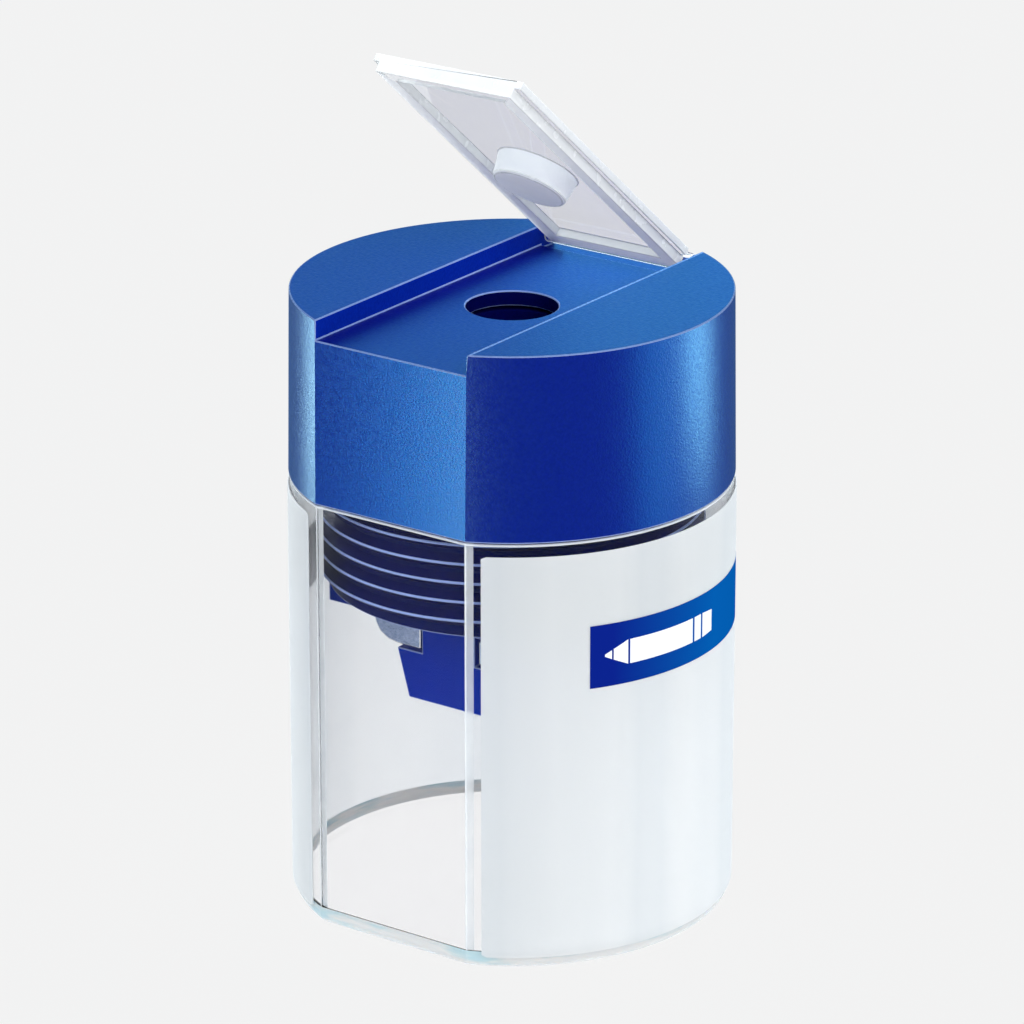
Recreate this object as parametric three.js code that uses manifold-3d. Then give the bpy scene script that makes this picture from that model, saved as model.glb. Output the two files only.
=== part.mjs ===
// Pocket pencil sharpener with a screw-on closure, a clear shavings tub and a clear hinged flap.
// Millimetres, +Z up. Origin: centre of the tub's resting face. The flat front faces -Y.
import * as THREE from 'three';
import { mergeVertices } from 'three/addons/utils/BufferGeometryUtils.js';
import Module from 'manifold-3d';

const wasm = await Module();
wasm.setup();

// Tub
const TUB_RADIUS = 20.15;
const TUB_FLAT = 18.4;
const TUB_HEIGHT = 40.5;
const TUB_EDGE = 1.1;
const TUB_INNER_RADIUS = 19.0;
const TUB_INNER_FLAT = 17.85;
const TUB_FLOOR = 1.5;
const TUB_INNER_EDGE = 1.4;

// Labels on the two curved sides, angles from the front flat's normal
const LABEL_GAP = 0.08;
const LABEL_FILM = 0.12;
const LABEL_START = 28;
const LABEL_BOTTOM = 1.3;
const LABEL_TOP = 39.6;

// Closure
const CAP_BOTTOM = 40.85;
const CAP_TOP = 58.05;
const CAP_RADIUS_TOP = 20.0;
const CAP_RADIUS_BOTTOM = 20.25;
const CAP_FLAT_TOP = 18.2;
const CAP_INNER_RADIUS = 18.6;
const CAP_INNER_FLAT = 16.95;
const CAP_CEILING = 54.7;
const CHANNEL_HALF = 8.25;
const CHANNEL_FLOOR = 56.15;
const HOLE_RADIUS = 4.2;
const GROOVE_FRONT = 16.0;
const GROOVE_FLOOR = 55.8;
const SOCKET_INNER = 6.0;
const SOCKET_OUTER = 7.2;
const SOCKET_BOTTOM = 51.6;

// Flap and its pivot
const PIVOT_Y = 17.05;
const PIVOT_Z = 57.15;
const FLAP_OPEN = 40;
const STUD_RADIUS = 0.4;
const STUD_INNER = 6.6;
const BARREL_RADIUS = 0.88;
const SOCKET_RADIUS = 0.64;
const FLAP_HALF_LOWER = 7.28;
const FLAP_HALF_UPPER = 7.95;
const FLAP_HALF_THICK = 0.85;
const FLAP_LENGTH = 35.2;
const FLAP_RIM = 1.5;
const FLAP_SKIN = 0.9;
const BOSS_RADIUS = 3.9;
const BOSS_TIP_RADIUS = 3.5;
const BOSS_DROP = 1.5;

// Thread between collar and tub
const PITCH = 1.79;
const COLLAR_ROOT = 16.7;
const COLLAR_CREST = 17.6;
const COLLAR_BORE = 15.1;
const FRONT_CREST = 39.42;
const TUB_THREAD_TIP = 17.2;

// Sharpener carrier under the collar
const COLLAR_TOP = 54.3;
const COLLAR_BOTTOM = 30.6;
const DECK_TOP = 31.3;
const DECK_BOTTOM = 27.9;
const DECK_HALF = 9.8;
const DECK_RADIUS = 16.6;
const HOLDER_HALF = 9.3;
const HOLDER_BACK = 3.5;
const HOLDER_TOP = 49.0;
const TONGUE_TOP = 25.1;
const TONGUE_BOTTOM = 20.5;
const TONGUE_HALF_TOP = 5.7;
const TONGUE_HALF_BOTTOM = 4.4;
const TONGUE_NECK = 2.9;
const WALL = 1.6;
const GAP = 0.3;

// Metal sharpener, blade and screw
const BODY_BOTTOM = 25.35;
const BODY_TOP = 50.4;
const BODY_FRONT = -7.4;
const BODY_BACK = 5.4;
const BODY_HALF_TOP = 5.6;
const BODY_HALF_BOTTOM = 7.5;
const FLANGE_TOP = 27.6;
const FLANGE_HALF = 8.5;
const FLANGE_FRONT = -9.6;
const CONE_SLOPE = THREE.MathUtils.degToRad(11.5);
const CONE_TIP_RADIUS = 0.9;
const CONE_TIP = 28.3;
const BORE_RADIUS = 4.1;
const SLANT_DROP = 0.45;
const RING_BOTTOM = 46.5;
const BLADE_MIDDLE = 36.0;
const BLADE_LENGTH = 20.0;
const BLADE_LEFT = -0.3;
const BLADE_RIGHT = 5.9;
const BLADE_THICK = 0.6;
const SCREW_X = 3.9;
const SCREW_HEAD = 1.7;
const SCREW_SHANK = 0.95;

// Guide bush between the closure's hole and the mouth of the metal sharpener
const GUIDE_INNER = 4.3;
const GUIDE_OUTER = 5.65;
const GUIDE_BOTTOM = 51.0;
const GUIDE_TOP = 54.3;

// Slivers finer than this are cleaned off after a cut
const CLEAN = 0.01;

const rad = THREE.MathUtils.degToRad;

function toSolid(geometry) {
  const bare = geometry.clone();
  bare.deleteAttribute('normal');
  bare.deleteAttribute('uv');
  const merged = mergeVertices(bare, 1e-4);
  const mesh = new wasm.Mesh({
    numProp: 3,
    vertProperties: new Float32Array(merged.attributes.position.array),
    triVerts: new Uint32Array(merged.index.array),
  });
  return new wasm.Manifold(mesh);
}

function toGeometry(solid) {
  const mesh = solid.simplify(CLEAN).getMesh();
  const geometry = new THREE.BufferGeometry();
  const positions = new Float32Array(mesh.vertProperties);
  geometry.setAttribute('position', new THREE.BufferAttribute(positions, 3));
  geometry.setIndex(new THREE.BufferAttribute(new Uint32Array(mesh.triVerts), 1));
  geometry.computeVertexNormals();
  return geometry;
}

function box(x0, x1, y0, y1, z0, z1) {
  const geometry = new THREE.BoxGeometry(x1 - x0, y1 - y0, z1 - z0);
  geometry.translate((x0 + x1) / 2, (y0 + y1) / 2, (z0 + z1) / 2);
  return toSolid(geometry);
}

// Upright cylinder or cone frustum
function post(bottomRadius, topRadius, z0, z1, segments = 72) {
  const geometry = new THREE.CylinderGeometry(topRadius, bottomRadius, z1 - z0, segments);
  geometry.rotateX(Math.PI / 2);
  geometry.translate(0, 0, (z0 + z1) / 2);
  return toSolid(geometry);
}

// Rod along X
function rod(radius, x0, x1, y, z, segments = 32) {
  const geometry = new THREE.CylinderGeometry(radius, radius, x1 - x0, segments);
  geometry.rotateZ(Math.PI / 2);
  geometry.translate((x0 + x1) / 2, y, z);
  return toSolid(geometry);
}

// Circle with a flat at the front and one at the back
function flattedShape(radius, flat) {
  const corner = Math.asin(flat / radius);
  const shape = new THREE.Shape();
  shape.absarc(0, 0, radius, -corner, corner, false);
  shape.absarc(0, 0, radius, Math.PI - corner, Math.PI + corner, false);
  shape.closePath();
  return shape;
}

function flattedPrism(radius, flat, z0, z1, edge = 0) {
  const geometry = new THREE.ExtrudeGeometry(flattedShape(radius, flat), {
    depth: z1 - z0 - 2 * edge,
    curveSegments: 36,
    bevelEnabled: edge > 0,
    bevelThickness: edge,
    bevelSize: edge,
    bevelOffset: -edge,
    bevelSegments: 3,
  });
  geometry.translate(0, 0, z0 + edge);
  return geometry;
}

// Outline in X and Z drawn out along Y
function frontPrism(points, y0, y1) {
  const shape = new THREE.Shape(points.map(([x, z]) => new THREE.Vector2(x, z)));
  const geometry = new THREE.ExtrudeGeometry(shape, { depth: y1 - y0, bevelEnabled: false });
  geometry.rotateX(Math.PI / 2);
  geometry.translate(0, y1, 0);
  return toSolid(geometry);
}

// Outline in Y and Z drawn out along X
function sidePrism(points, x0, x1) {
  const shape = new THREE.Shape(points.map(([y, z]) => new THREE.Vector2(y, z)));
  const geometry = new THREE.ExtrudeGeometry(shape, { depth: x1 - x0, bevelEnabled: false });
  geometry.applyMatrix4(new THREE.Matrix4().set(0, 0, 1, x0, 1, 0, 0, 0, 0, 1, 0, 0, 0, 0, 0, 1));
  return toSolid(geometry);
}

// Ridge of trapezium section wound round the Z axis; angles in degrees from the front
function helicalRidge(baseRadius, tipRadius, baseHalf, tipHalf, heightAt, start, end, step) {
  const count = Math.ceil((end - start) / step);
  const fade = 30;
  const geometry = new THREE.BoxGeometry(1, 1, 1, 1, 1, count);
  const position = geometry.attributes.position;
  for (let i = 0; i < position.count; i += 1) {
    const outward = position.getX(i) + 0.5;
    const side = 2 * position.getY(i);
    const angle = start + (position.getZ(i) + 0.5) * (end - start);
    const reach = Math.min(1, (angle - start) / fade + 0.4, (end - angle) / fade + 0.4);
    const tip = baseRadius + (tipRadius - baseRadius) * reach;
    const radius = THREE.MathUtils.lerp(baseRadius, tip, outward);
    const half = THREE.MathUtils.lerp(baseHalf, tipHalf, outward * reach);
    const height = heightAt(angle) + (tipRadius > baseRadius ? -side : side) * half;
    const turn = rad(angle - 90);
    position.setXYZ(i, radius * Math.cos(turn), radius * Math.sin(turn), height);
  }
  return geometry;
}

const ridgeSolid = (...args) => toSolid(helicalRidge(...args));

const crestHeight = (angle) => FRONT_CREST + (PITCH * angle) / 360;

function makeTub() {
  let tub = toSolid(flattedPrism(TUB_RADIUS, TUB_FLAT, 0, TUB_HEIGHT + 6, TUB_EDGE));
  const inner = flattedPrism(
    TUB_INNER_RADIUS, TUB_INNER_FLAT, TUB_FLOOR, TUB_HEIGHT + 12, TUB_INNER_EDGE);
  tub = tub.subtract(toSolid(inner));
  tub = tub.subtract(box(-30, 30, -30, 30, TUB_HEIGHT, TUB_HEIGHT + 30));
  const groove = (angle) => crestHeight(angle) - 2.5 * PITCH + (angle < 0 ? PITCH : 0);
  for (const [start, end] of [[-145, -35], [35, 145]]) {
    const ridge = ridgeSolid(
      TUB_INNER_RADIUS + 0.3, TUB_THREAD_TIP, 0.6, 0.1, groove, start, end, 6);
    tub = tub.add(ridge);
  }
  return tub;
}

function makeLabel(side) {
  const inner = TUB_RADIUS + LABEL_GAP;
  const outer = inner + LABEL_FILM;
  const from = rad(LABEL_START - 90);
  const to = -from;
  const turn = side > 0 ? 0 : Math.PI;
  const shape = new THREE.Shape();
  shape.absarc(0, 0, outer, from + turn, to + turn, false);
  shape.absarc(0, 0, inner, to + turn, from + turn, true);
  shape.closePath();
  const geometry = new THREE.ExtrudeGeometry(shape, {
    depth: LABEL_TOP - LABEL_BOTTOM, curveSegments: 34, bevelEnabled: false });
  geometry.translate(0, 0, LABEL_BOTTOM);
  return toSolid(geometry);
}

function makeCap() {
  const outer = flattedPrism(CAP_RADIUS_TOP, CAP_FLAT_TOP, CAP_BOTTOM, CAP_TOP);
  const position = outer.attributes.position;
  for (let i = 0; i < position.count; i += 1) {
    const share = (CAP_TOP - position.getZ(i)) / (CAP_TOP - CAP_BOTTOM);
    const scale = 1 + share * (CAP_RADIUS_BOTTOM / CAP_RADIUS_TOP - 1);
    position.setX(i, position.getX(i) * scale);
    position.setY(i, position.getY(i) * scale);
  }
  let cap = toSolid(outer);
  cap = cap.subtract(box(-CHANNEL_HALF, CHANNEL_HALF, -30, 30, CHANNEL_FLOOR, 70));
  cap = cap.subtract(box(-CHANNEL_HALF, CHANNEL_HALF, GROOVE_FRONT, 30, GROOVE_FLOOR, 70));
  cap = cap.subtract(toSolid(flattedPrism(CAP_INNER_RADIUS, CAP_INNER_FLAT, 30, CAP_CEILING)));
  const socket = post(SOCKET_OUTER, SOCKET_OUTER, SOCKET_BOTTOM, CAP_CEILING + 0.5)
    .subtract(post(SOCKET_INNER, SOCKET_INNER, SOCKET_BOTTOM - 1, CAP_CEILING + 0.01));
  cap = cap.add(socket);
  cap = cap.subtract(post(HOLE_RADIUS, HOLE_RADIUS, 40, 70, 96));
  for (const side of [-1, 1]) {
    const ends = [side * STUD_INNER, side * (CHANNEL_HALF + 0.4)].sort((a, b) => a - b);
    cap = cap.add(rod(STUD_RADIUS, ends[0], ends[1], PIVOT_Y, PIVOT_Z, 24));
  }
  return cap;
}

function makeFlap() {
  // Drawn shut about the pivot at the origin: the free end lies at -Y
  const lower = box(
    -FLAP_HALF_LOWER, FLAP_HALF_LOWER, -FLAP_LENGTH, 0, -FLAP_HALF_THICK, FLAP_HALF_THICK);
  const plate = box(
    -FLAP_HALF_UPPER, FLAP_HALF_UPPER, -FLAP_LENGTH, -1.4, 0.1, FLAP_HALF_THICK);
  const recess = box(
    FLAP_RIM - FLAP_HALF_LOWER, FLAP_HALF_LOWER - FLAP_RIM,
    FLAP_RIM - FLAP_LENGTH, -2.0, -5, FLAP_HALF_THICK - FLAP_SKIN);
  const barrel = rod(BARREL_RADIUS, -FLAP_HALF_LOWER, FLAP_HALF_LOWER, 0, 0, 36);
  let flap = lower.add(plate).subtract(recess).add(barrel);
  const tip = -FLAP_HALF_THICK - BOSS_DROP;
  const boss = post(BOSS_TIP_RADIUS, BOSS_RADIUS, tip, FLAP_HALF_THICK - 0.3, 48);
  flap = flap.add(boss.translate([0, -PIVOT_Y, 0]));
  for (const side of [-1, 1]) {
    const ends = [side * (STUD_INNER - GAP), side * 12].sort((a, b) => a - b);
    flap = flap.subtract(rod(SOCKET_RADIUS, ends[0], ends[1], 0, 0, 24));
  }
  return flap;
}

// Side of the metal sharpener: a hollow curve, widest at the lower end
function bodyHalf(z) {
  const share = (BODY_TOP - z) / (BODY_TOP - BODY_BOTTOM);
  return BODY_HALF_TOP + (BODY_HALF_BOTTOM - BODY_HALF_TOP) * share * share;
}

function bodyOutline(grow, z0, z1) {
  const steps = 12;
  const right = [];
  for (let i = 0; i <= steps; i += 1) {
    const z = z0 + ((z1 - z0) * i) / steps;
    right.push([bodyHalf(Math.min(z, BODY_TOP)) + grow, z]);
  }
  const left = right.map(([x, z]) => [-x, z]).reverse();
  return right.concat(left);
}

// Frame of the slanted face that carries the blade: Z along the face, Y out of it
const slantAt = (z) => CONE_TIP_RADIUS - SLANT_DROP + (z - CONE_TIP) * Math.tan(CONE_SLOPE);
const slantFrame = new THREE.Matrix4()
  .makeTranslation(0, slantAt(BLADE_MIDDLE), BLADE_MIDDLE)
  .multiply(new THREE.Matrix4().makeRotationX(-CONE_SLOPE));

function slantRod(radius, y0, y1, segments) {
  const geometry = new THREE.CylinderGeometry(radius, radius, y1 - y0, segments);
  geometry.translate(SCREW_X, (y0 + y1) / 2, 0);
  return geometry;
}

function makeBody() {
  let body = frontPrism(bodyOutline(0, BODY_BOTTOM, BODY_TOP), BODY_FRONT, BODY_BACK);
  const flangeRight = [
    [5.8, BODY_BOTTOM], [6.9, 25.55], [7.8, 26.1], [8.25, 26.8], [FLANGE_HALF, FLANGE_TOP]];
  const flangeLeft = flangeRight.map(([x, z]) => [-x, z]).reverse();
  const flange = frontPrism(flangeRight.concat(flangeLeft), FLANGE_FRONT, 3)
    .subtract(box(-TONGUE_NECK - GAP, TONGUE_NECK + GAP, -12, BODY_FRONT, 20, 30));
  body = body.add(flange);
  const coneStart = CONE_TIP + (BORE_RADIUS - CONE_TIP_RADIUS) / Math.tan(CONE_SLOPE);
  const profile = [
    [0, 20], [CONE_TIP_RADIUS, 20], [CONE_TIP_RADIUS, CONE_TIP],
    [BORE_RADIUS, coneStart], [BORE_RADIUS, 60], [0, 60],
  ].map(([r, z]) => new THREE.Vector2(r, z));
  const bore = new THREE.LatheGeometry(profile, 48);
  bore.rotateX(Math.PI / 2);
  body = body.subtract(toSolid(bore));
  const slant = [
    [slantAt(20), 20], [20, 20], [20, RING_BOTTOM], [slantAt(RING_BOTTOM), RING_BOTTOM]];
  body = body.subtract(sidePrism(slant, -15, 15));
  const hole = slantRod(SCREW_SHANK + GAP, -4.2, 3, 24).applyMatrix4(slantFrame);
  return body.subtract(toSolid(hole));
}

function makeBlade() {
  // Section across the blade, sharpened along its left edge, then drawn out along the face
  const shape = new THREE.Shape([
    new THREE.Vector2(BLADE_LEFT, GAP),
    new THREE.Vector2(BLADE_RIGHT, GAP),
    new THREE.Vector2(BLADE_RIGHT, GAP + BLADE_THICK),
    new THREE.Vector2(BLADE_LEFT + 1.1, GAP + BLADE_THICK),
  ]);
  const strip = new THREE.ExtrudeGeometry(shape, { depth: BLADE_LENGTH, bevelEnabled: false });
  strip.translate(0, 0, -BLADE_LENGTH / 2);
  return toSolid(strip).subtract(toSolid(slantRod(SCREW_SHANK + GAP, -1, 3, 24)));
}

function makeScrew() {
  const headBottom = 2 * GAP + BLADE_THICK;
  const head = toSolid(slantRod(SCREW_HEAD, headBottom, headBottom + 1.0, 32));
  const shank = toSolid(slantRod(SCREW_SHANK, -3.6, headBottom + 0.2, 24));
  const slot = box(SCREW_X - 3, SCREW_X + 3, headBottom + 0.5, headBottom + 2, -0.25, 0.25);
  return head.add(shank).subtract(slot);
}

function makeCollar() {
  let collar = post(COLLAR_ROOT, COLLAR_ROOT, COLLAR_BOTTOM, COLLAR_TOP);
  // Thread: five ribs show at the front, its two ends lie at the back
  const lowest = (angle) => crestHeight(angle) - 4 * PITCH;
  collar = collar.add(ridgeSolid(
    COLLAR_ROOT - 0.2, COLLAR_CREST, 0.5 * PITCH - 0.02, 0.05, lowest, -162.5, 4 * 360 + 162.5, 5));
  collar = collar.subtract(post(COLLAR_BORE, COLLAR_BORE, 20, COLLAR_TOP + 1));
  collar = collar.subtract(box(-30, 30, -30, 30, 10, COLLAR_BOTTOM));
  // Bridge across the collar, open to the tub in front and behind
  const deck = post(DECK_RADIUS, DECK_RADIUS, DECK_BOTTOM, DECK_TOP)
    .intersect(box(-30, 30, -DECK_HALF, DECK_HALF, 20, 40));
  collar = collar.add(deck);
  collar = collar.add(box(
    -HOLDER_HALF, HOLDER_HALF, -DECK_HALF, HOLDER_BACK, DECK_BOTTOM, HOLDER_TOP));
  const pocket = frontPrism(bodyOutline(GAP, 20, 60), BODY_FRONT - GAP, DECK_HALF + 2);
  collar = collar.subtract(pocket);
  // Tongue in front of the tip of the sharpener, with two short side walls
  const tongue = [
    [-TONGUE_NECK, DECK_BOTTOM + 1], [-TONGUE_NECK, TONGUE_TOP], [-TONGUE_HALF_TOP, TONGUE_TOP],
    [-TONGUE_HALF_BOTTOM, TONGUE_BOTTOM], [TONGUE_HALF_BOTTOM, TONGUE_BOTTOM],
    [TONGUE_HALF_TOP, TONGUE_TOP], [TONGUE_NECK, TONGUE_TOP], [TONGUE_NECK, DECK_BOTTOM + 1]];
  collar = collar.add(frontPrism(tongue, -DECK_HALF, BODY_FRONT - GAP));
  for (const side of [-1, 1]) {
    const wall = [
      [side * TONGUE_HALF_TOP, TONGUE_TOP], [side * (TONGUE_HALF_TOP - WALL), TONGUE_TOP],
      [side * (TONGUE_HALF_BOTTOM - WALL), TONGUE_BOTTOM],
      [side * TONGUE_HALF_BOTTOM, TONGUE_BOTTOM]];
    if (side > 0) wall.reverse();
    collar = collar.add(frontPrism(wall, -DECK_HALF, -2));
  }
  return collar;
}

function makeGuide() {
  const ring = post(GUIDE_OUTER, GUIDE_OUTER, GUIDE_BOTTOM, GUIDE_TOP, 60);
  return ring.subtract(post(GUIDE_INNER, GUIDE_INNER, GUIDE_BOTTOM - 1, GUIDE_TOP + 1, 60));
}

function material(color, roughness, metalness, opacity = 1) {
  return new THREE.MeshStandardMaterial({
    color, roughness, metalness, opacity, transparent: opacity < 1 });
}

const blue = material(0x1b3fb0, 0.45, 0);
const clear = material(0xe9edf2, 0.12, 0, 0.35);
const film = material(0xdde2e8, 0.35, 0.2);
const alloy = material(0xb9bcc2, 0.35, 0.95);
const steel = material(0xcfd3d8, 0.22, 1);

const object = new THREE.Group();

function place(name, solid, look, parent = object) {
  const mesh = new THREE.Mesh(toGeometry(solid), look.clone());
  mesh.name = name;
  parent.add(mesh);
}

place('tub', makeTub(), clear);
place('label_left', makeLabel(-1), film);
place('label_right', makeLabel(1), film);
place('closure_cap', makeCap(), blue);
place('threaded_carrier', makeCollar(), blue);
place('pencil_guide', makeGuide(), blue);
place('sharpener_body', makeBody(), alloy);

const slantGroup = new THREE.Group();
slantGroup.applyMatrix4(slantFrame);
object.add(slantGroup);
place('blade', makeBlade(), steel, slantGroup);
place('blade_screw', makeScrew(), steel, slantGroup);

const flapGroup = new THREE.Group();
flapGroup.position.set(0, PIVOT_Y, PIVOT_Z);
flapGroup.rotation.x = -rad(FLAP_OPEN);
object.add(flapGroup);
place('flap', makeFlap(), clear, flapGroup);

export default object;
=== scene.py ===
"""Looks for the container pencil sharpener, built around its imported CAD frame."""
import math

import bmesh
import bpy
from mathutils import Matrix, Vector


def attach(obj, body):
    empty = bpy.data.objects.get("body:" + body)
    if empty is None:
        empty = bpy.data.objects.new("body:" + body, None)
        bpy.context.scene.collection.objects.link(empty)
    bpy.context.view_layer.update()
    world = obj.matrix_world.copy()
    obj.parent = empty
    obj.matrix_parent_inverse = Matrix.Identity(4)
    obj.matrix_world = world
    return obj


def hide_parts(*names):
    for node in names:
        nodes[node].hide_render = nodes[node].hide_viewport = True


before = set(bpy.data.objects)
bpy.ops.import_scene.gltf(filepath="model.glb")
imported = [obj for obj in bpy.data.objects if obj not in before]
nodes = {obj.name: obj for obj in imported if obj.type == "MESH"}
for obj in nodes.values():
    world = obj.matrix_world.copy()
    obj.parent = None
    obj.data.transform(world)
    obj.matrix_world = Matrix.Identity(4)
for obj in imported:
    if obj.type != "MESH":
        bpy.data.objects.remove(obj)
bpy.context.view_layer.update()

MM = 0.001
scene = bpy.context.scene

# Sizes of the mouldings, in millimetres. The tub is a circle of radius R with flats at F from its axis.
TUB_R, TUB_F, TUB_TOP = 20.15, 18.4, 40.7
TUB_IN_R, TUB_IN_F, TUB_FLOOR = 19.5, 17.85, 1.5
FOOT_ROUND, FOOT_TOP, FOOT_LINE = 1.1, 1.7, 1.75
INNER_ROUND = 0.2
FLOOR_INSET = 4
# The second number is the half width, in degrees, of the band painted as a highlight at each corner.
CORNER_TURN, CORNER_HIGHLIGHT_BAND = 24.0, 0.9  # degrees from the front to where a flat meets a curved side
# How far each ring of the rim is inside the radius, inside the flat and below the top
RIM_OUTER = ((0, 0, 0.18), (0.06, 0.06, 0.05), (0.18, 0.16, 0))
RIM_INNER = ((-0.15, -0.14, 0), (-0.04, -0.04, 0.05), (0, 0, 0.18))

CAP_LOW, CAP_TOP = 40.85, 58.05
CAP_R_TOP, CAP_R_LOW = 20.0, 20.25
CAP_IN_R, CAP_IN_F, CAP_CEILING = 18.6, 16.95, 54.7
CHANNEL_HALF, CHANNEL_FLOOR = 8.25, 56.15
GROOVE_FRONT, GROOVE_FLOOR = 16.0, 55.8
LEDGE_LINE = 0.34
HOLE_R = 4.2

PIVOT_Y, PIVOT_Z = 17.05, 57.15
STUD_R, STUD_FROM, STUD_TO = 0.4, 6.6, 8.5

PITCH, FRONT_CREST = 1.79, 39.42
COLLAR_ROOT, COLLAR_CREST, COLLAR_BORE = 16.7, 17.6, 15.1
COLLAR_LOW, COLLAR_TOP = 30.6, 54.3
THREAD_ROOT, THREAD_TURNS, THREAD_SPARE = COLLAR_ROOT - 0.15, 4, 162.5
DECK_LOW, DECK_TOP, DECK_HALF, DECK_R = 27.9, 31.3, 9.8, 16.6
HOLDER_HALF, HOLDER_BACK, HOLDER_TOP = 9.3, 3.5, 49.0
POCKET_FRONT, POCKET_GAP = -7.7, 0.3
TONGUE_TOP, TONGUE_STEP, TONGUE_LOW = 28.9, 25.1, 20.5
TONGUE_NECK, TONGUE_WIDE, TONGUE_TIP = 2.9, 5.7, 4.4
METAL_LOW, METAL_TOP = 25.35, 50.4
METAL_HALF_LOW, METAL_HALF_TOP = 7.5, 5.6

LABEL_IN, LABEL_OUT = 20.23, 20.35
LABEL_FROM, LABEL_TO = 28.0, 152.0
LABEL_LOW, LABEL_TOP = 1.3, 39.6
BANNER_FROM, BANNER_TO = 55.5, 149.0
BANNER_LOW, BANNER_TOP = 26.8, 32.7
BANNER_MID = (BANNER_LOW + BANNER_TOP) / 2
INK_THICK = 0.015

# The flap is drawn shut, with its pivot at the origin and its free end at -Y
FLAP_HALF, FLAP_REACH, FLAP_THICK_HALF = 7.28, 35.2, 0.85
LIP_HALF, LIP_BACK, LIP_LOW = 7.95, 1.4, 0.1
RECESS_HALF, RECESS_FRONT, RECESS_BACK, RECESS_TOP = 5.78, 33.7, 2.0, -0.05
WINDOW_HALF, WINDOW_FRONT, WINDOW_BACK = 5.6, 33.6, 2.1
BARREL_R, BARREL_HALF = 0.88, 8.05
SOCKET_R, SOCKET_FROM = 0.64, 6.3
BOSS_PROFILE = ((3.3, -2.35), (3.5, -2.15), (3.9, 0.4))
FLAP_OPEN = 40

GLOW = 0.885  # how bright the pale floor is


# ---------------------------------------------------------------- geometry

def make_object(name, bm):
    bmesh.ops.recalc_face_normals(bm, faces=bm.faces)
    mesh = bpy.data.meshes.new(name)
    bm.to_mesh(mesh)
    bm.free()
    obj = bpy.data.objects.new(name, mesh)
    scene.collection.objects.link(obj)
    return obj


def loft(bm, rings, ends=True):
    """Quads between rings of equal length, with a face at each end."""
    rows = [[bm.verts.new(Vector(p) * MM) for p in ring] for ring in rings]
    count = len(rows[0])
    for low, high in zip(rows, rows[1:]):
        for i in range(count):
            j = (i + 1) % count
            bm.faces.new((low[i], low[j], high[j], high[i]))
    if ends:
        bm.faces.new(rows[0][::-1])
        bm.faces.new(rows[-1])
    return rows


def flatted(radius, flat, z, fillet=0.35, flat_steps=12):
    """Circle with a flat at the front and the back, and softened corners where fillet is over 0."""
    arc_steps, fillet_steps = 72, 6
    if not fillet:
        edge = math.asin(flat / radius)
        half = [(radius * math.cos(edge) * (2 * i / flat_steps - 1), -flat)
                for i in range(flat_steps)]
        half += [(radius * math.cos(edge * (2 * i / arc_steps - 1)),
                  radius * math.sin(edge * (2 * i / arc_steps - 1))) for i in range(arc_steps)]
        return [(x, y, z) for x, y in half] + [(-x, -y, z) for x, y in half]
    inner = radius - fillet
    corner_x = math.sqrt(inner ** 2 - (flat - fillet) ** 2)
    edge = math.atan2(flat - fillet, corner_x)
    half = []
    for i in range(flat_steps):
        half.append((corner_x * (2 * i / flat_steps - 1), -flat))
    for i in range(fillet_steps):
        a = -math.pi / 2 + (math.pi / 2 - edge) * i / fillet_steps
        half.append((corner_x + fillet * math.cos(a), -(flat - fillet) + fillet * math.sin(a)))
    for i in range(arc_steps):
        a = edge * (2 * i / arc_steps - 1)
        half.append((radius * math.cos(a), radius * math.sin(a)))
    for i in range(fillet_steps):
        a = edge + (math.pi / 2 - edge) * i / fillet_steps
        half.append((corner_x + fillet * math.cos(a), flat - fillet + fillet * math.sin(a)))
    return [(x, y, z) for x, y in half] + [(-x, -y, z) for x, y in half]


def circle(radius, z, steps, cy=0.0):
    turn = 2 * math.pi / steps
    return [(radius * math.cos(i * turn), cy + radius * math.sin(i * turn), z)
            for i in range(steps)]


def block(name, x0, x1, y0, y1, z0, z1):
    bm = bmesh.new()
    loft(bm, [[(x0, y0, z), (x1, y0, z), (x1, y1, z), (x0, y1, z)] for z in (z0, z1)])
    return make_object(name, bm)


def tube(name, radius, x0, x1, steps):
    """Rod along X through the origin."""
    bm = bmesh.new()
    turn = 2 * math.pi / steps
    loft(bm, [[(x, radius * math.cos(i * turn), radius * math.sin(i * turn))
               for i in range(steps)] for x in (x0, x1)])
    return make_object(name, bm)


def drawn(name, outline, y0, y1):
    """Outline in X and Z drawn out along Y."""
    bm = bmesh.new()
    loft(bm, [[(x, y, z) for x, z in outline] for y in (y0, y1)])
    return make_object(name, bm)


def baked(obj):
    """Applies the piece's modifiers to its mesh."""
    graph = bpy.context.evaluated_depsgraph_get()
    mesh = bpy.data.meshes.new_from_object(obj.evaluated_get(graph))
    obj.modifiers.clear()
    obj.data = mesh
    return obj


def cut(obj, tool, operation="DIFFERENCE"):
    mod = obj.modifiers.new("cut", "BOOLEAN")
    mod.operation = operation
    mod.solver = "EXACT"
    mod.object = tool
    baked(obj)
    bpy.data.objects.remove(tool)
    return obj


def merged(name, *objs):
    """One piece out of several separate closed shells."""
    bm = bmesh.new()
    for obj in objs:
        bm.from_mesh(obj.data)
        bpy.data.objects.remove(obj)
    return make_object(name, bm)


def smooth(obj, sharp_angle=None):
    """Smooth shading, with the edges above the angle kept sharp."""
    obj.data.polygons.foreach_set("use_smooth", [True] * len(obj.data.polygons))
    if sharp_angle is not None:
        obj.data.set_sharp_from_angle(angle=math.radians(sharp_angle))


def weigh_normals(obj):
    """Keeps the flats looking flat beside rounded edges."""
    weights = obj.modifiers.new("normals", "WEIGHTED_NORMAL")
    weights.keep_sharp = True


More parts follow.
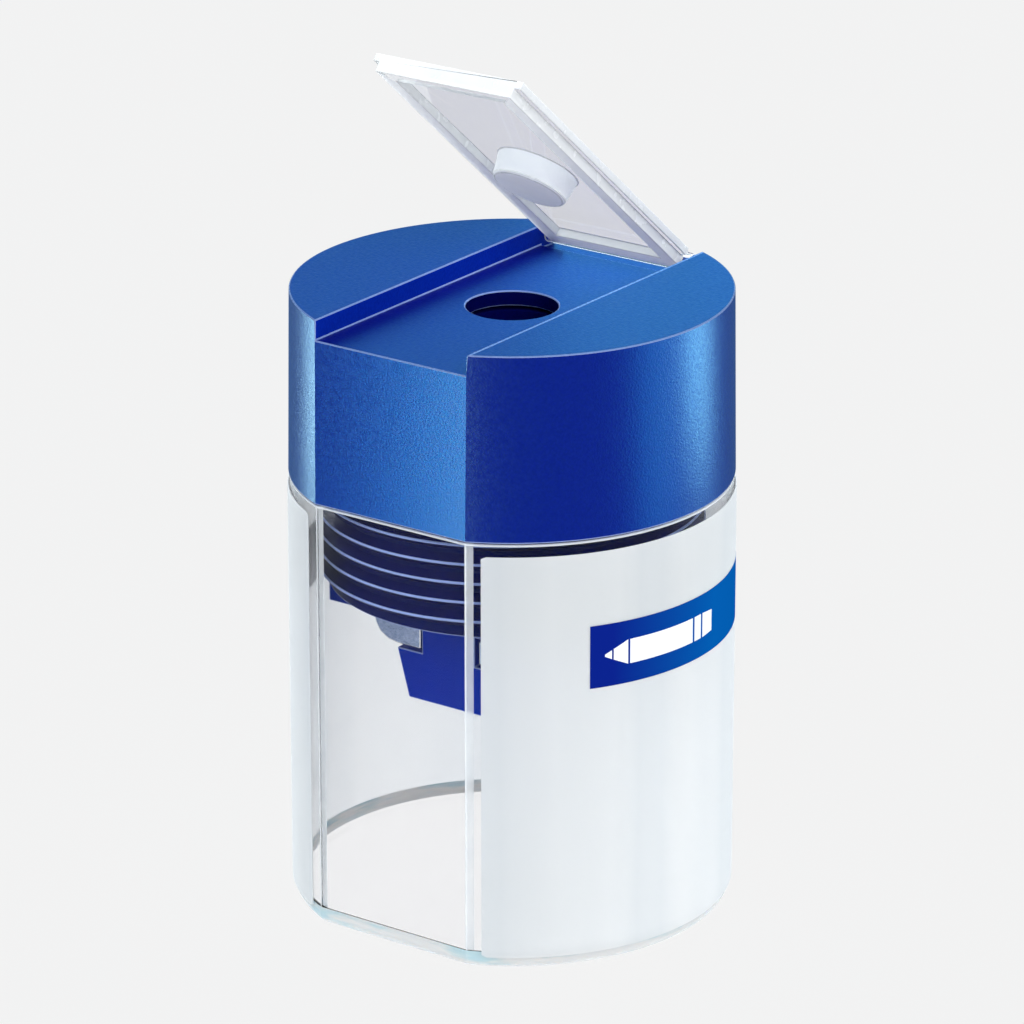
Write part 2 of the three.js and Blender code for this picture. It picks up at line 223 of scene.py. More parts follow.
def soften(obj, width, segments=3, angle=35, highlight_slot=None):
    """Rounded edges in the slot's paler material, a painted highlight, and smooth shading that keeps the
    flats flat.
    """
    bevel = obj.modifiers.new("edges", "BEVEL")
    bevel.width = width * MM
    bevel.segments = segments
    bevel.limit_method = "ANGLE"
    bevel.angle_limit = math.radians(angle)
    bevel.use_clamp_overlap = False
    if highlight_slot is not None:
        bevel.material = highlight_slot
    smooth(obj)
    weigh_normals(obj)


def tidy_cad(obj, width, segments=3, angle=35, highlight_slot=None):
    """A carried-over CAD node: joins its split faces, then rounds its edges."""
    weld = obj.modifiers.new("weld", "WELD")
    weld.merge_threshold = 2e-6
    flat = obj.modifiers.new("flat", "DECIMATE")
    flat.decimate_type = "DISSOLVE"
    flat.angle_limit = math.radians(0.6)
    soften(obj, width, segments, angle, highlight_slot)


# --------------------------------------------------------------- materials

class Look:
    """A Principled material with helpers for procedural detail."""

    def __init__(self, name):
        self.material = bpy.data.materials.new(name)
        self.material.use_nodes = True
        self.tree = self.material.node_tree
        self.shader = self.tree.nodes["Principled BSDF"]
        self.place = self.tree.nodes.new("ShaderNodeTexCoord").outputs["Object"]

    def set(self, **values):
        for key, value in values.items():
            self.shader.inputs[key.replace("_", " ")].default_value = value

    def noise(self, scale, detail, stretch=None):
        node = self.tree.nodes.new("ShaderNodeTexNoise")
        node.inputs["Scale"].default_value = scale
        node.inputs["Detail"].default_value = detail
        place = self.place
        if stretch:
            mapping = self.tree.nodes.new("ShaderNodeMapping")
            mapping.inputs["Scale"].default_value = stretch
            self.tree.links.new(place, mapping.inputs["Vector"])
            place = mapping.outputs["Vector"]
        self.tree.links.new(place, node.inputs["Vector"])
        return node.outputs["Fac"]

    def along_y(self, start, stop):
        """Runs from 0 to 1 between two places along Y, in mm."""
        split = self.tree.nodes.new("ShaderNodeSeparateXYZ")
        self.tree.links.new(self.place, split.inputs["Vector"])
        return self.span(split.outputs["Y"], 0, 1, start * MM, stop * MM)

    def ramp(self, source, low, high, start=0.3, stop=0.7):
        """Colour from low to high while the source goes from start to stop."""
        node = self.tree.nodes.new("ShaderNodeValToRGB")
        node.color_ramp.elements[0].position = start
        node.color_ramp.elements[1].position = stop
        node.color_ramp.elements[0].color = (*low, 1)
        node.color_ramp.elements[1].color = (*high, 1)
        self.tree.links.new(source, node.inputs["Fac"])
        return node.outputs["Color"]

    def span(self, source, low, high, start=0.3, stop=0.7):
        """Number from low to high while the source goes from start to stop."""
        node = self.tree.nodes.new("ShaderNodeMapRange")
        node.inputs["From Min"].default_value = start
        node.inputs["From Max"].default_value = stop
        node.inputs["To Min"].default_value = low
        node.inputs["To Max"].default_value = high
        self.tree.links.new(source, node.inputs["Value"])
        return node.outputs["Result"]

    def link(self, source, socket):
        self.tree.links.new(source, self.shader.inputs[socket])

    def bump(self, source, depth, strength=1.0):
        """Surface relief of the given depth in mm."""
        node = self.tree.nodes.new("ShaderNodeBump")
        node.inputs["Strength"].default_value = strength
        node.inputs["Distance"].default_value = depth * MM
        self.tree.links.new(source, node.inputs["Height"])
        self.tree.links.new(node.outputs["Normal"], self.shader.inputs["Normal"])


def blue_plastic(name, low, high, rough=(0.28, 0.38), level=0.5):
    """Satin moulded plastic with a fine grain."""
    look = Look(name)
    look.set(IOR=1.5, Specular_IOR_Level=level, Specular_Tint=(0.1, 0.62, 1.0, 1))
    look.link(look.ramp(look.noise(4200, 2), low, high), "Base Color")
    look.link(look.span(look.noise(2600, 2), *rough), "Roughness")
    look.bump(look.noise(5200, 2), 0.022)
    return look.material


def clear_plastic(name, low, high, rough=(0.01, 0.04), solid=0.0):
    """Clear moulded plastic; solid is the share that scatters light as a solid colour would."""
    look = Look(name)
    look.set(IOR=1.16, Transmission_Weight=1.0 - solid)
    look.link(look.ramp(look.noise(500, 2), low, high), "Base Color")
    look.link(look.span(look.noise(420, 3), *rough), "Roughness")
    look.bump(look.noise(160, 2), 0.004, 0.3)
    return look.material


BLUE = blue_plastic("moulded_blue", (0.003, 0.006, 0.24), (0.004, 0.008, 0.30))
# a pale copy of the blue that paints a highlight on rounded edges, the thread's crests and a strip on the
# shoulder
BLUE_PAINTED_HIGHLIGHT = blue_plastic("moulded_blue_painted_highlight", (0.34, 0.42, 0.80), (0.40, 0.48, 0.86), (0.25, 0.3))
# a much darker copy of the blue that paints the shade on the carrier, thread, guide bush and pencil hole
BLUE_PAINTED_SHADE = blue_plastic("blue_painted_shade", (0.001, 0.002, 0.08), (0.002, 0.003, 0.10), level=0.08)
# a lighter, purer copy of the blue that paints light on the channel's side walls and the holder's front
BLUE_PAINTED_LIGHT = blue_plastic("blue_painted_light", (0.002, 0.024, 0.42), (0.003, 0.034, 0.50), level=0.1)
CLEAR = clear_plastic("clear_styrene", (0.986, 0.984, 0.990), (0.994, 0.993, 0.998))
# a milky copy of the clear styrene that paints the highlight along the tub's rim and corners
CLEAR_PAINTED_HIGHLIGHT = clear_plastic("clear_styrene_painted_highlight", (0.92, 0.94, 0.97), (0.98, 0.99, 1.0),
                           (0.15, 0.25), 0.6)
# a grey, mostly solid copy that paints the highlight on the flap's sides and rounded edges
FLAP_PAINTED_HIGHLIGHT = clear_plastic("flap_painted_highlight", (0.805, 0.803, 0.790), (0.845, 0.840, 0.828),
                          (0.20, 0.30), 0.85)
FLAP_WINDOW = clear_plastic("flap_window", (0.905, 0.915, 0.945), (0.925, 0.935, 0.96))

# The tub's foot band is painted: mostly solid milky white where clear plastic seen edge on catches light,
# with cyan streaks that paint a reflection of the blue.
foot_painted_reflection = Look("tub_foot_painted_reflection")
foot_painted_reflection.set(IOR=1.3, Transmission_Weight=0.2, Subsurface_Weight=1.0,
         Subsurface_Radius=(0.9, 1.0, 1.1), Subsurface_Scale=0.002)
foot_painted_reflection.link(foot_painted_reflection.ramp(foot_painted_reflection.noise(170, 3, (1, 1, 5)), (0.60, 0.80, 0.90), (0.97, 0.98, 1.0),
                    0.36, 0.52),
          "Base Color")
foot_painted_reflection.link(foot_painted_reflection.span(foot_painted_reflection.noise(420, 3), 0.08, 0.2), "Roughness")
foot_painted_reflection.bump(foot_painted_reflection.noise(160, 2), 0.05, 0.5)
FOOT_PAINTED_REFLECTION = foot_painted_reflection.material

frost = Look("flap_boss")
frost.set(IOR=1.2, Transmission_Weight=0.15, Subsurface_Weight=1.0,
          Subsurface_Radius=(1.0, 1.0, 1.0), Subsurface_Scale=0.002)
frost.link(frost.ramp(frost.noise(500, 2), (0.93, 0.94, 0.96), (1.0, 1.0, 1.0)), "Base Color")
frost.link(frost.span(frost.noise(420, 3), 0.3, 0.5), "Roughness")
frost.bump(frost.noise(900, 2, (0.15, 1, 1)), 0.12, 0.8)
FLAP_FROST = frost.material

film = Look("label_film")
film.set(IOR=1.45, Specular_IOR_Level=0.25, Subsurface_Weight=1.0,
         Subsurface_Radius=(1.0, 1.0, 1.0), Subsurface_Scale=0.0006)
film.link(film.ramp(film.noise(95, 1, (1, 1, 0.02)), (0.76, 0.78, 0.80), (0.905, 0.902, 0.90),
                    0.42, 0.58),
          "Base Color")
film.link(film.span(film.noise(1500, 2), 0.30, 0.42), "Roughness")
film.bump(film.noise(2600, 2), 0.002)
FILM = film.material

ink = Look("banner_ink")
ink.set(IOR=1.5, Specular_IOR_Level=0.0)
# The ink runs from darker blue at the front end to lighter blue towards the back, along Y.
ink.link(ink.ramp(ink.along_y(-11, 3), (0.003, 0.014, 0.215), (0.001, 0.095, 0.37), 0.1, 1.0),
         "Base Color")
ink.link(ink.span(ink.noise(1500, 2), 0.28, 0.38), "Roughness")
INK = ink.material

white = Look("banner_white")
white.link(white.ramp(white.noise(900, 2), (0.84, 0.86, 0.88), (0.90, 0.91, 0.92)), "Base Color")
white.link(white.span(white.noise(1500, 2), 0.35, 0.45), "Roughness")
WHITE = white.material

# The sharpener's metal: its blue tint is a painted reflection of the blue plastic round it; grain and
# roughness are its own.
alloy_painted_reflection = Look("machined_alloy_painted_blue_reflection")
alloy_painted_reflection.set(Metallic=1.0)
alloy_painted_reflection.link(alloy_painted_reflection.ramp(alloy_painted_reflection.noise(2200, 3), (0.30, 0.38, 0.58), (0.46, 0.54, 0.74)), "Base Color")
alloy_painted_reflection.link(alloy_painted_reflection.span(alloy_painted_reflection.noise(1500, 3, (1, 1, 12)), 0.22, 0.42), "Roughness")
alloy_painted_reflection.bump(alloy_painted_reflection.noise(1400, 2, (1, 1, 18)), 0.02, 0.5)
ALLOY_PAINTED_REFLECTION = alloy_painted_reflection.material

steel = Look("ground_steel")
steel.set(Metallic=1.0)
steel.link(steel.ramp(steel.noise(1500, 3), (0.66, 0.68, 0.70), (0.80, 0.82, 0.84)), "Base Color")
steel.link(steel.span(steel.noise(900, 3, (20, 1, 1)), 0.14, 0.30), "Roughness")
steel.bump(steel.noise(900, 2, (30, 1, 1)), 0.006, 0.5)
STEEL = steel.material


def dress(obj, *materials):
    """Gives the piece these materials and keeps which face has which."""
    slots = [face.material_index for face in obj.data.polygons]
    obj.data.materials.clear()
    for material in materials:
        obj.data.materials.append(material)
    for face, slot in zip(obj.data.polygons, slots):
        face.material_index = min(slot, len(materials) - 1)
    return obj


# ------------------------------------------------------------------ closure

def cap_radius(z):
    return CAP_R_TOP + (CAP_R_LOW - CAP_R_TOP) * (CAP_TOP - z) / (CAP_TOP - CAP_LOW)


def make_cap():
    """Body up to the channel, with a shoulder each side of it, then the hollows cut out.

    Sides are -1 for left and 1 for right; ends are -1 for front and 1 for back.
    """
    bm = bmesh.new()
    half, steps = CHANNEL_HALF, 72

    def corner(side, end, z):
        reach = math.sqrt(cap_radius(z) ** 2 - half ** 2)
        return bm.verts.new(Vector((side * half, end * reach, z)) * MM)

    def corners(front_z, back_z):
        return {(side, end): corner(side, end, z)
                for side in (-1, 1) for end, z in ((-1, front_z), (1, back_z))}

    low = corners(CAP_LOW, CAP_LOW)
    mid = corners(CHANNEL_FLOOR, GROOVE_FLOOR)
    top = corners(CAP_TOP, CAP_TOP)
    arcs, groove_step = {}, {}
    for side in (-1, 1):
        for z in (CAP_LOW, CAP_TOP):
            edge = math.acos(half / cap_radius(z))
            arcs[side, z] = [bm.verts.new(Vector((
                side * cap_radius(z) * math.cos(a), cap_radius(z) * math.sin(a), z)) * MM)
                for a in (edge * (2 * i / steps - 1) for i in range(1, steps))]
        lower, upper = arcs[side, CAP_LOW], arcs[side, CAP_TOP]
        for i in range(steps - 2):
            bm.faces.new((lower[i], lower[i + 1], upper[i + 1], upper[i]))
        for end, k in ((-1, 0), (1, -1)):
            bm.faces.new((low[side, end], lower[k], upper[k], top[side, end], mid[side, end]))
        step = [bm.verts.new(Vector((side * half, GROOVE_FRONT, z)) * MM)
                for z in (CHANNEL_FLOOR, GROOVE_FLOOR)]
        groove_step[side] = step
        bm.faces.new((top[side, -1], top[side, 1], mid[side, 1], step[1], step[0], mid[side, -1]))
        bm.faces.new([top[side, -1], *upper, top[side, 1]])
    left, right = groove_step[-1], groove_step[1]
    bm.faces.new((mid[-1, -1], mid[1, -1], right[0], left[0]))
    bm.faces.new((left[0], right[0], right[1], left[1]))
    bm.faces.new((left[1], right[1], mid[1, 1], mid[-1, 1]))
    for end in (-1, 1):
        bm.faces.new((low[-1, end], low[1, end], mid[1, end], mid[-1, end]))
    bm.faces.new([low[-1, -1], *arcs[-1, CAP_LOW], low[-1, 1],
                  low[1, 1], *reversed(arcs[1, CAP_LOW]), low[1, -1]])
    # the right shoulder's top is parted along a thin strip, which is given the pale blue as a painted
    # highlight
    ledge = [f for f in bm.faces if len(f.verts) > 50
             and f.calc_center_median().z > CHANNEL_FLOOR * MM and f.calc_center_median().x > 0]
    around = {e for f in ledge for e in f.edges} | {v for f in ledge for v in f.verts}
    bmesh.ops.bisect_plane(bm, geom=ledge + list(around), plane_no=(1, 0, 0),
                           plane_co=Vector((half + LEDGE_LINE, 0, 0)) * MM)
    cap = make_object("closure_shell", bm)
    bm = bmesh.new()
    loft(bm, [flatted(CAP_IN_R, CAP_IN_F, z, fillet=0, flat_steps=2) for z in (30, CAP_CEILING)])
    cut(cap, make_object("tool", bm))
    bm = bmesh.new()
    loft(bm, [circle(HOLE_R, z, 96) for z in (40, 70)])
    cut(cap, make_object("tool", bm))
    return cap


cap = dress(make_cap(), BLUE, BLUE_PAINTED_HIGHLIGHT, BLUE_PAINTED_SHADE, BLUE_PAINTED_LIGHT)
# The pencil hole's wall takes the dark blue, painted shade; the thin strip on the right shoulder the pale
# blue, a painted highlight; the channel's side walls the lighter blue, painted light; the rounded edges
# the bevel makes take the pale blue too, a painted highlight.
for face in cap.data.polygons:
    in_hole = max(math.hypot(*cap.data.vertices[i].co.xy) for i in face.vertices) < (HOLE_R + 0.1) * MM
    on_top = face.center.z > (CAP_TOP - 0.01) * MM
    on_painted_highlight = on_top and 0 < face.center.x < (CHANNEL_HALF + LEDGE_LINE) * MM
    on_wall = abs(face.normal.x) > 0.99 and face.center.z > CHANNEL_FLOOR * MM
    face.material_index = 2 if in_hole else 1 if on_painted_highlight else 3 if on_wall else 0
cap.data.set_sharp_from_angle(angle=math.radians(20))
soften(cap, 0.12, 2, 30, 1)
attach(cap, "closure")
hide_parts("closure_cap")

studs = []
for side in (-1, 1):
    stud = tube("stud", STUD_R, side * STUD_FROM, side * STUD_TO, 32)
    stud.data.transform(Matrix.Translation(Vector((0, PIVOT_Y, PIVOT_Z)) * MM))
    studs.append(stud)
pivot = dress(merged("flap_pivot_studs", *studs), BLUE, BLUE_PAINTED_HIGHLIGHT)
# the studs' rounded edges take the pale blue, a painted highlight
soften(pivot, 0.08, 2, 40, 1)
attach(pivot, "closure")


# ------------------------------------------------------------------ carrier

def make_thread():
    """Rib that winds up the collar; its angle is 0 at the front and its crests there are a pitch apart."""
    upper = [(COLLAR_CREST, 0.0), (COLLAR_CREST - 0.03, 0.07), (COLLAR_CREST - 0.14, 0.13),
             (THREAD_ROOT, 0.80)]
    section = [(radius, -rise) for radius, rise in reversed(upper[1:])] + upper
    start, stop, step = -THREAD_SPARE, THREAD_TURNS * 360 + THREAD_SPARE, 2.5
    fade, least = 30, 0.2
    bm = bmesh.new()
    rings = []
    for i in range(int((stop - start) / step) + 1):
        angle = start + i * step
        reach = min(1, (angle - start) / fade + least, (stop - angle) / fade + least)
        turn = math.radians(angle - 90)
        height = FRONT_CREST + PITCH * (angle / 360 - THREAD_TURNS)
        ring = []
        for radius, rise in section:
            r = THREAD_ROOT + (radius - THREAD_ROOT) * reach
            ring.append((r * math.cos(turn), r * math.sin(turn), height + rise))
        rings.append(ring)
    loft(bm, rings)
    # faces near the crest take the pale blue, a painted highlight; the flanks take the darker blue,
    # painted shade
    for face in bm.faces:
        drops = [abs(math.hypot(v.co.x, v.co.y) / MM - COLLAR_CREST) for v in face.verts]
        face.material_index = 1 if max(drops) < 0.16 else 0
    thread = make_object("carrier_thread", bm)
    smooth(thread, 50)
    return thread


def body_half(z):
    """Half width of the metal sharpener at a height."""
    share = (METAL_TOP - min(z, METAL_TOP)) / (METAL_TOP - METAL_LOW)
    return METAL_HALF_TOP + (METAL_HALF_LOW - METAL_HALF_TOP) * share * share


def pocket():
    """Hollow that follows the sides of the metal sharpener, with a gap all round."""
    side = [(body_half(z) + POCKET_GAP, z) for z in range(20, 61, 2)]
    return drawn("tool", side + [(-x, z) for x, z in reversed(side)], POCKET_FRONT, DECK_HALF + 2)


def make_carrier():
    """Collar, the deck across it, the holder round the metal sharpener, and the tongue below."""
    steps = 144
    bm = bmesh.new()
    heights = (COLLAR_LOW, COLLAR_TOP)
    outer = [circle(COLLAR_ROOT, z, steps) for z in heights]
    inner = [circle(COLLAR_BORE, z, steps) for z in reversed(heights)]
    rows = loft(bm, outer + inner, ends=False)
    for i in range(steps):
        j = (i + 1) % steps
        bm.faces.new((rows[0][i], rows[0][j], rows[3][j], rows[3][i]))
    ring = make_object("tool", bm)
    bm = bmesh.new()
    loft(bm, [circle(DECK_R, z, steps) for z in (DECK_LOW, DECK_TOP)])
    deck = cut(make_object("deck", bm),
               block("tool", -30, 30, -DECK_HALF, DECK_HALF, 20, 40), "INTERSECT")
    cut(deck, block("tool", -HOLDER_HALF, HOLDER_HALF, -DECK_HALF, HOLDER_BACK,
                    DECK_LOW, HOLDER_TOP), "UNION")
    cut(deck, pocket())
    side = [(TONGUE_NECK, TONGUE_TOP), (TONGUE_NECK, TONGUE_STEP),
            (TONGUE_WIDE, TONGUE_STEP), (TONGUE_TIP, TONGUE_LOW)]
    tongue = drawn("tongue", [(-x, z) for x, z in side] + side[::-1], -DECK_HALF, POCKET_FRONT)
    thick = 1.6
    section = ((TONGUE_WIDE, TONGUE_STEP), (TONGUE_WIDE - thick, TONGUE_STEP),
               (TONGUE_TIP - thick, TONGUE_LOW), (TONGUE_TIP, TONGUE_LOW))
    walls = [drawn("wall", [(end * x, z) for x, z in section], POCKET_FRONT - 0.05, -2.0)
             for end in (-1, 1)]
    return merged("carrier_body", ring, deck, tongue, *walls)


# The carrier and thread take the darker blue, painted shade; faces at the front below the deck's top take
# the lighter blue, painted light; rounded edges take the pale blue, a painted highlight.
carrier = dress(make_carrier(), BLUE_PAINTED_SHADE, BLUE_PAINTED_HIGHLIGHT, BLUE_PAINTED_LIGHT)
for face in carrier.data.polygons:
    if face.center.z < (DECK_TOP + 0.01) * MM and face.center.y < -1 * MM:
        face.material_index = 2
soften(carrier, 0.10, 2, 30, 1)
thread = dress(make_thread(), BLUE_PAINTED_SHADE, BLUE_PAINTED_HIGHLIGHT)
for piece in (carrier, thread):
    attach(piece, "closure")
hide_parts("threaded_carrier")

# the guide bush in the darker blue, painted shade
guide = dress(nodes["pencil_guide"], BLUE_PAINTED_SHADE)
tidy_cad(guide, 0.12)

# the body in the alloy with its painted blue reflection; its rounded edges in the paler steel, a painted
# highlight
metal = dress(nodes["sharpener_body"], ALLOY_PAINTED_REFLECTION, STEEL)
tidy_cad(metal, 0.14, 2, 35, 1)
tidy_cad(dress(nodes["blade"], STEEL), 0.02, 1)
tidy_cad(dress(nodes["blade_screw"], STEEL), 0.10, 2)


# ---------------------------------------------------------------------- tub

def make_tub():
    """Outside from the middle of the underside up to the rim, then the inside down to the floor."""
    quarter = [math.pi / 2 * i / 8 for i in range(9)]
    rings = [flatted(TUB_R - FLOOR_INSET, TUB_F - FLOOR_INSET, 0.0, 0.3)]
    for a in quarter:
        inset = FOOT_ROUND * (1 - math.sin(a))
        rings.append(flatted(TUB_R - inset, TUB_F - inset, FOOT_ROUND * (1 - math.cos(a))))
    rings.append(flatted(TUB_R, TUB_F, FOOT_LINE))
    rings += [flatted(TUB_R - a, TUB_F - b, TUB_TOP - drop) for a, b, drop in RIM_OUTER]
    rings += [flatted(TUB_IN_R - a, TUB_IN_F - b, TUB_TOP - drop) for a, b, drop in RIM_INNER]
    for a in quarter:
        inset = INNER_ROUND * (1 - math.cos(a))
        z = TUB_FLOOR + INNER_ROUND * (1 - math.sin(a))
        rings.append(flatted(TUB_IN_R - inset, TUB_IN_F - inset, z))
    rings.append(flatted(TUB_IN_R - FLOOR_INSET, TUB_IN_F - FLOOR_INSET, TUB_FLOOR, 0.3))
    bm = bmesh.new()
    loft(bm, rings)
    # The foot band takes slot 2, painted milky with cyan streaks of reflection; the rim and narrow bands
    # at the corners take slot 1, the milky copy that paints a highlight.
    for face in bm.faces:
        if len(face.verts) != 4:
            continue
        x, y, z = face.calc_center_median() / MM
        turn = math.degrees(math.atan2(abs(x), abs(y)))
        on_rim = z > TUB_TOP - 0.2
        on_corner = abs(turn - CORNER_TURN) < CORNER_HIGHLIGHT_BAND and z > TUB_FLOOR
        outside = max(abs(y) - TUB_IN_F, math.hypot(x, y) - TUB_IN_R) > 0.05
        on_foot = outside and 0.02 < z < FOOT_TOP
        face.material_index = 2 if on_foot else 1 if on_rim or on_corner else 0
    tub = make_object("tub_clear", bm)
    smooth(tub)
    weigh_normals(tub)
    return tub


tub = dress(make_tub(), CLEAR, CLEAR_PAINTED_HIGHLIGHT, FOOT_PAINTED_REFLECTION)
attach(tub, "container")
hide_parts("tub")


# ------------------------------------------------------------------- labels

def on_side(angle, radius, z, side):
    """Point on a curved side; angle in degrees from the front."""
    turn = math.radians(angle)
    return (side * radius * math.sin(turn), -radius * math.cos(turn), z)


def curved_bar(name, sections):
    """Closed bar through sections of four points each."""
    bm = bmesh.new()
    rows = [[bm.verts.new(Vector(point) * MM) for point in section] for section in sections]
    for low, high in zip(rows, rows[1:]):
        for k in range(4):
            bm.faces.new((low[k], low[(k + 1) % 4], high[(k + 1) % 4], high[k]))
    bm.faces.new(rows[0])
    bm.faces.new(rows[-1][::-1])
    return make_object(name, bm)


def strip(name, side, a0, a1, z0, z1, inner, outer, corner=0.0, steps=96):
    """Curved rectangle between two angles and two heights, with rounded corners."""
    per_degree = math.radians(1) * outer
    sections = []
    for i in range(steps + 1):
        angle = a0 + (a1 - a0) * i / steps
        gap = min(angle - a0, a1 - angle) * per_degree
        dip = corner - math.sqrt(max(corner ** 2 - max(corner - gap, 0) ** 2, 0))
        sections.append([on_side(angle, r, z, side)
                         for r, z in ((inner, z0 + dip), (outer, z0 + dip),
                                      (outer, z1 - dip), (inner, z1 - dip))])
    obj = curved_bar(name, sections)
    smooth(obj, 30)
    return obj


def ribbon(name, side, a0, a1, half0, half1, steps=32):
    """Printed patch along the middle of the banner that tapers from one end to the other."""
    sections = []
    for i in range(steps + 1):
        share = i / steps
        half = half0 + (half1 - half0) * share
        low, high, outer = BANNER_MID - half, BANNER_MID + half, LABEL_OUT + 2 * INK_THICK
        sections.append([on_side(a0 + (a1 - a0) * share, r, z, side)
                         for r, z in ((LABEL_OUT, low), (outer, low), (outer, high), (LABEL_OUT, high))])
    return curved_bar(name, sections)


# A plain pencil, point to the front: lead, sharpened wood, shaft, ferrule and eraser.
# Each has the angles that it lies between and its half height at each.
PENCIL_PARTS = ((59.5, 61.4, 0.10, 0.42), (61.9, 66.0, 0.50, 1.15), (66.6, 88.0, 1.15, 1.15),
                (88.8, 91.6, 1.15, 1.15), (92.4, 97.0, 1.15, 1.0))

labels = []
for side, word in ((-1, "left"), (1, "right")):
    label = strip(f"label_film_{word}", side, LABEL_FROM, LABEL_TO, LABEL_LOW, LABEL_TOP,
                  LABEL_IN, LABEL_OUT, 0.2)
    dress(label, FILM)
    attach(label, "container")
    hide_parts(f"label_{word}")
    banner = strip(f"banner_{word}", side, BANNER_FROM, BANNER_TO, BANNER_LOW, BANNER_TOP,
                   LABEL_OUT - 0.02, LABEL_OUT + INK_THICK)
    dress(banner, INK)
    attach(banner, "container")
    patches = [ribbon("patch", side, *part) for part in PENCIL_PARTS]
    pencil = dress(merged(f"banner_pencil_{word}", *patches), WHITE)
    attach(pencil, "container")
    labels += [label, banner, pencil]


# --------------------------------------------------------------------- flap

def make_flap():
    """Drawn shut about its pivot at the origin, then turned open."""
    flap = block("flap_clear", -FLAP_HALF, FLAP_HALF, -FLAP_REACH, 0,
                 -FLAP_THICK_HALF, FLAP_THICK_HALF)
    cut(flap, block("tool", -LIP_HALF, LIP_HALF, -FLAP_REACH, -LIP_BACK,
                    LIP_LOW, FLAP_THICK_HALF), "UNION")
    cut(flap, block("tool", -RECESS_HALF, RECESS_HALF, -RECESS_FRONT, -RECESS_BACK,
                    -5, RECESS_TOP))
    cut(flap, tube("tool", BARREL_R, -BARREL_HALF, BARREL_HALF, 48), "UNION")
    bm = bmesh.new()
    loft(bm, [circle(r, z, 64, -PIVOT_Y) for r, z in BOSS_PROFILE])
    cut(flap, make_object("tool", bm), "UNION")
    for x0, x1 in ((-12, -SOCKET_FROM), (SOCKET_FROM, 12)):
        cut(flap, tube("tool", SOCKET_R, x0, x1, 32))
    boss_reach = BOSS_PROFILE[-1][0] + 0.1
    # The flap's sides and rounded edges take the grey, mostly solid copy, a painted highlight; the boss's
    # underside is frosted; the recess floor is the window.
    for face in flap.data.polygons:
        x, y, z = face.center / MM
        on_boss = math.hypot(x, y + PIVOT_Y) < boss_reach and z < 0.2
        frosted = on_boss and z < -0.06
        rim = abs(face.normal.z) < 0.5 and y < -0.9 and not on_boss
        inside = abs(x) < WINDOW_HALF and -WINDOW_FRONT < y < -WINDOW_BACK
        window = inside and abs(face.normal.z) > 0.9
        face.material_index = 3 if frosted else 1 if rim else 2 if window else 0
    turn = Matrix.Rotation(math.radians(-FLAP_OPEN), 4, "X")
    place = Matrix.Translation(Vector((0, PIVOT_Y, PIVOT_Z)) * MM)
    flap.data.transform(place @ turn)
    return flap


flap = dress(make_flap(), CLEAR, FLAP_PAINTED_HIGHLIGHT, FLAP_WINDOW, FLAP_FROST)
soften(flap, 0.10, 2, 30, 1)
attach(flap, "flap")
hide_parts("flap")


# --------------------------------------------------------- floor and lights

def area(name, place, target, width, height, radiance, colour=(1, 1, 1)):
    """Soft panel that faces its target; power is set from its radiance."""
    data = bpy.data.lights.new(name, "AREA")
    data.shape = "RECTANGLE"
    data.size, data.size_y = width * MM, height * MM
    data.energy = radiance * math.pi * data.size * data.size_y
    data.color = colour
    obj = bpy.data.objects.new(name, data)
    scene.collection.objects.link(obj)
    obj.location = Vector(place) * MM
    aim = (Vector(target) - Vector(place)).normalized()
    obj.rotation_euler = aim.to_track_quat("-Z", "Y").to_euler()
    obj.visible_camera = False
    return obj


def shines_on(panel, *pieces):
    """Restricts a panel to these pieces, as a flagged lamp would be."""
    group = bpy.data.collections.new(panel.name + "_pieces")
    for piece in pieces:
        group.objects.link(piece)
    panel.light_linking.receiver_collection = group


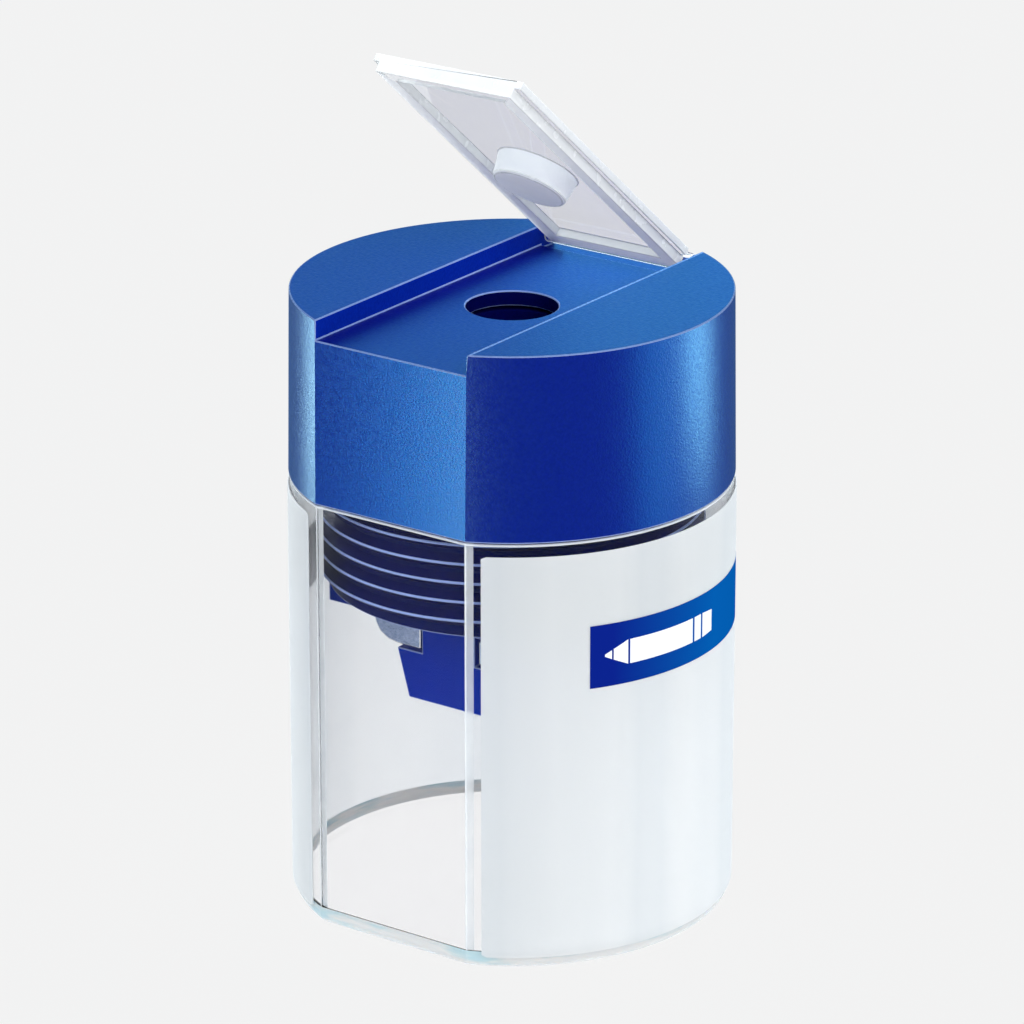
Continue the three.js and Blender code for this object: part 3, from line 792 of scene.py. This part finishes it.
# Tinted panels that only the closure's gloss shows: place, target, width, height, radiance, tint
cards = [
    area("front_card", (-10.8, -59.7, 35), (12.6, -27.3, 35), 26, 60, 11.5, (0.2, 0.9, 1.0)),
    area("corner_card", (-3.5, -65.0, 35), (19.9, -32.6, 35), 22, 60, 34.0, (1.0, 0.30, 0.05)),
    area("side_card", (82.8, 24.5, 34), (19.4, -5.0, 34), 34, 50, 4.4, (0.2, 0.75, 1.0)),
    area("right_card", (61.2, 56.8, 40), (20.1, -0.4, 40), 30, 36, 11.5, (0.42, 0.9, 1.0)),
    area("left_card", (-76, -27, 40), (-10, -17, 40), 20, 50, 14.0, (0.62, 0.95, 1.0)),
    area("back_card", (-165, 228, 180), (0, 0, 58), 260, 170, 1.2, (0.04, 0.4, 1.0)),
    area("near_back_card", (-22.3, 70.2, 84), (18.6, 13.4, 58), 40, 60, 1.0, (0.08, 0.5, 1.0)),
]
for card in cards:
    card.visible_diffuse = False
    shines_on(card, cap, pivot)

# Soft light from above and the glow of the pale floor, for the clear and the printed pieces
ceiling = area("ceiling", (0, 0, 350), (0, 0, 0), 1600, 1600, 1.4)
under = area("floor_glow", (0, 0, -5), (0, 0, 100), 4000, 4000, GLOW)
under.visible_diffuse = False
for panel in (ceiling, under):
    shines_on(panel, tub, flap, *labels)

# Key and fill for every piece but the floor
solids = [cap, pivot, carrier, thread, guide, metal, nodes["blade"], nodes["blade_screw"],
          tub, flap]
key = area("key", (430, -230, 350), (0, 0, 40), 260, 260, 6.0)
fill = area("fill", (-400, 300, 150), (0, 0, 25), 260, 260, 10.0)
for panel in (key, fill):
    panel.visible_glossy = False
    shines_on(panel, *solids, *labels)
flap.visible_glossy = False

floor = block("floor", -4000, 4000, -4000, 4000, -2, -0.02)
floor.visible_glossy = False
floor.visible_shadow = False
paper = Look("floor_paper")
paper.set(Roughness=0.9, Specular_IOR_Level=0.0, Emission_Strength=GLOW,
          Emission_Color=(1, 1, 1, 1))
paper.link(paper.ramp(paper.noise(3, 2), (0.018, 0.018, 0.018), (0.022, 0.022, 0.022)),
           "Base Color")
dress(floor, paper.material)

world = bpy.data.worlds.new("studio")
scene.world = world
world.use_nodes = True
backdrop = world.node_tree.nodes["Background"]
backdrop.inputs["Color"].default_value = (0.35, 0.75, 1.0, 1)
backdrop.inputs["Strength"].default_value = 0.3
scene.view_settings.view_transform = "Standard"
scene.cycles.max_bounces = 20
scene.cycles.transmission_bounces = 20

camera_data = bpy.data.cameras.new("camera")
camera_data.lens = 206.1
camera_data.sensor_width = 36.0
camera_data.clip_start, camera_data.clip_end = 0.01, 20
camera = bpy.data.objects.new("camera", camera_data)
scene.collection.objects.link(camera)
camera.location = (0.2918, -0.4052, 0.2207)
camera.rotation_euler = (math.radians(69.74), 0, math.radians(35.76))
scene.camera = camera
